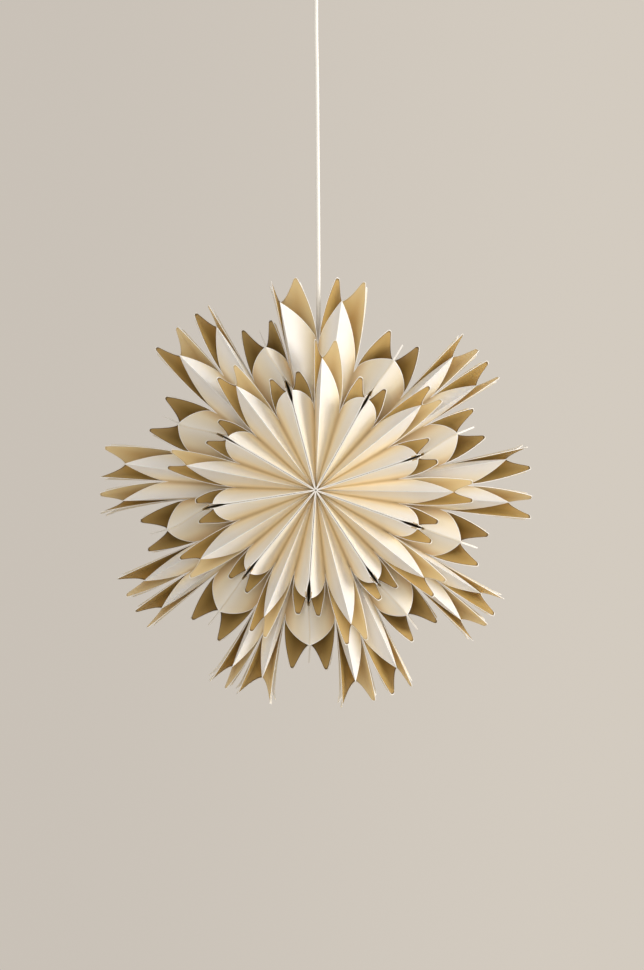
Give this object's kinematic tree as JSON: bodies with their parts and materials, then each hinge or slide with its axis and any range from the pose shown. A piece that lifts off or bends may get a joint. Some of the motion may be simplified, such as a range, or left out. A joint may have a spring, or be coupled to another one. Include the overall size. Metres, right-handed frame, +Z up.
{
  "type": "moravian star pendant",
  "caption": "Pleated paper star pendant of folded open cells, on a straight cord, with an inner lampholder and bulb, a ceiling bracket with hook, and a cup canopy that slides on the cord.",
  "frame": {"origin": "middle of the ceiling bracket's top face, where it meets the ceiling", "axes": "+Z up into the ceiling, +X to the right across the face of the star, -Y out of the front of the star"},
  "size_m": [0.4978, 0.23, 0.8971],
  "materials": {
    "star_paper": "matt white outside, kraft brown inside",
    "cord_sheath": "satin",
    "white_plastic": "moulded",
    "white_paint": "powder coat",
    "zinc_steel": "zinc plated",
    "brass": "bright",
    "porcelain": "glazed",
    "opal_glass": "opal",
    "bulb_plastic": "moulded",
    "cap_metal": "plated"
  },
  "bodies": {
    "ceiling_fitting": {"ceiling_bracket": "zinc_steel", "ceiling_hook": "zinc_steel", "cord_hanger": "white_plastic", "hanger_screw": "zinc_steel", "terminal_block": "white_plastic", "terminal_screws": "zinc_steel", "supply_leads": "cord_sheath", "cord_upper": "cord_sheath"},
    "canopy": {"canopy": "white_paint", "canopy_grip": "white_plastic", "canopy_screw": "zinc_steel"},
    "pendant": {"cord_lower": "cord_sheath"},
    "star": {"cord_grip_nut": "white_plastic", "holder_cap": "white_plastic", "holder_skirt": "white_plastic", "shade_ring_lower": "white_plastic", "shade_ring_upper": "white_plastic", "holder_core": "porcelain", "thread_shell": "brass", "centre_contact": "brass", "star_carrier": "zinc_steel", "leaf_1_front_cells": "star_paper", "leaf_1_back_cells": "star_paper", "leaf_1_covers": "star_paper", "leaf_2_front_cells": "star_paper", "leaf_2_back_cells": "star_paper", "leaf_2_covers": "star_paper", "leaf_3_front_cells": "star_paper", "leaf_3_back_cells": "star_paper", "leaf_3_covers": "star_paper", "leaf_4_front_cells": "star_paper", "leaf_4_back_cells": "star_paper", "leaf_4_covers": "star_paper", "leaf_5_front_cells": "star_paper", "leaf_5_back_cells": "star_paper", "leaf_5_covers": "star_paper", "leaf_6_front_cells": "star_paper", "leaf_6_back_cells": "star_paper", "leaf_6_covers": "star_paper", "leaf_7_front_cells": "star_paper", "leaf_7_back_cells": "star_paper", "leaf_7_covers": "star_paper", "leaf_8_front_cells": "star_paper", "leaf_8_back_cells": "star_paper", "leaf_8_covers": "star_paper", "leaf_9_front_cells": "star_paper", "leaf_9_back_cells": "star_paper", "leaf_9_covers": "star_paper", "closing_clips": "brass"},
    "bulb": {"bulb_globe": "opal_glass", "bulb_collar": "bulb_plastic", "bulb_cap": "cap_metal", "bulb_contact": "brass"}
  },
  "joints": [
    {"name": "canopy_slide", "type": "slide", "parent": "ceiling_fitting", "child": "canopy", "axis": [0, 0, -1], "range_m": [0, 0.06]},
    {"name": "pendant_swing", "type": "hinge", "parent": "ceiling_fitting", "child": "pendant", "pos_m": [0, 0, -0.155], "axis": [0, 1, 0], "range_deg": [-10, 10]},
    {"name": "star_turn", "type": "hinge", "parent": "pendant", "child": "star", "pos_m": [0, 0, -0.6], "axis": [0, 0, 1], "range_deg": [-180, 180]},
    {"name": "bulb_turn", "type": "hinge", "parent": "star", "child": "bulb", "pos_m": [0, 0, -0.64], "axis": [0, 0, -1], "range_deg": [0, 1080]}
  ]
}
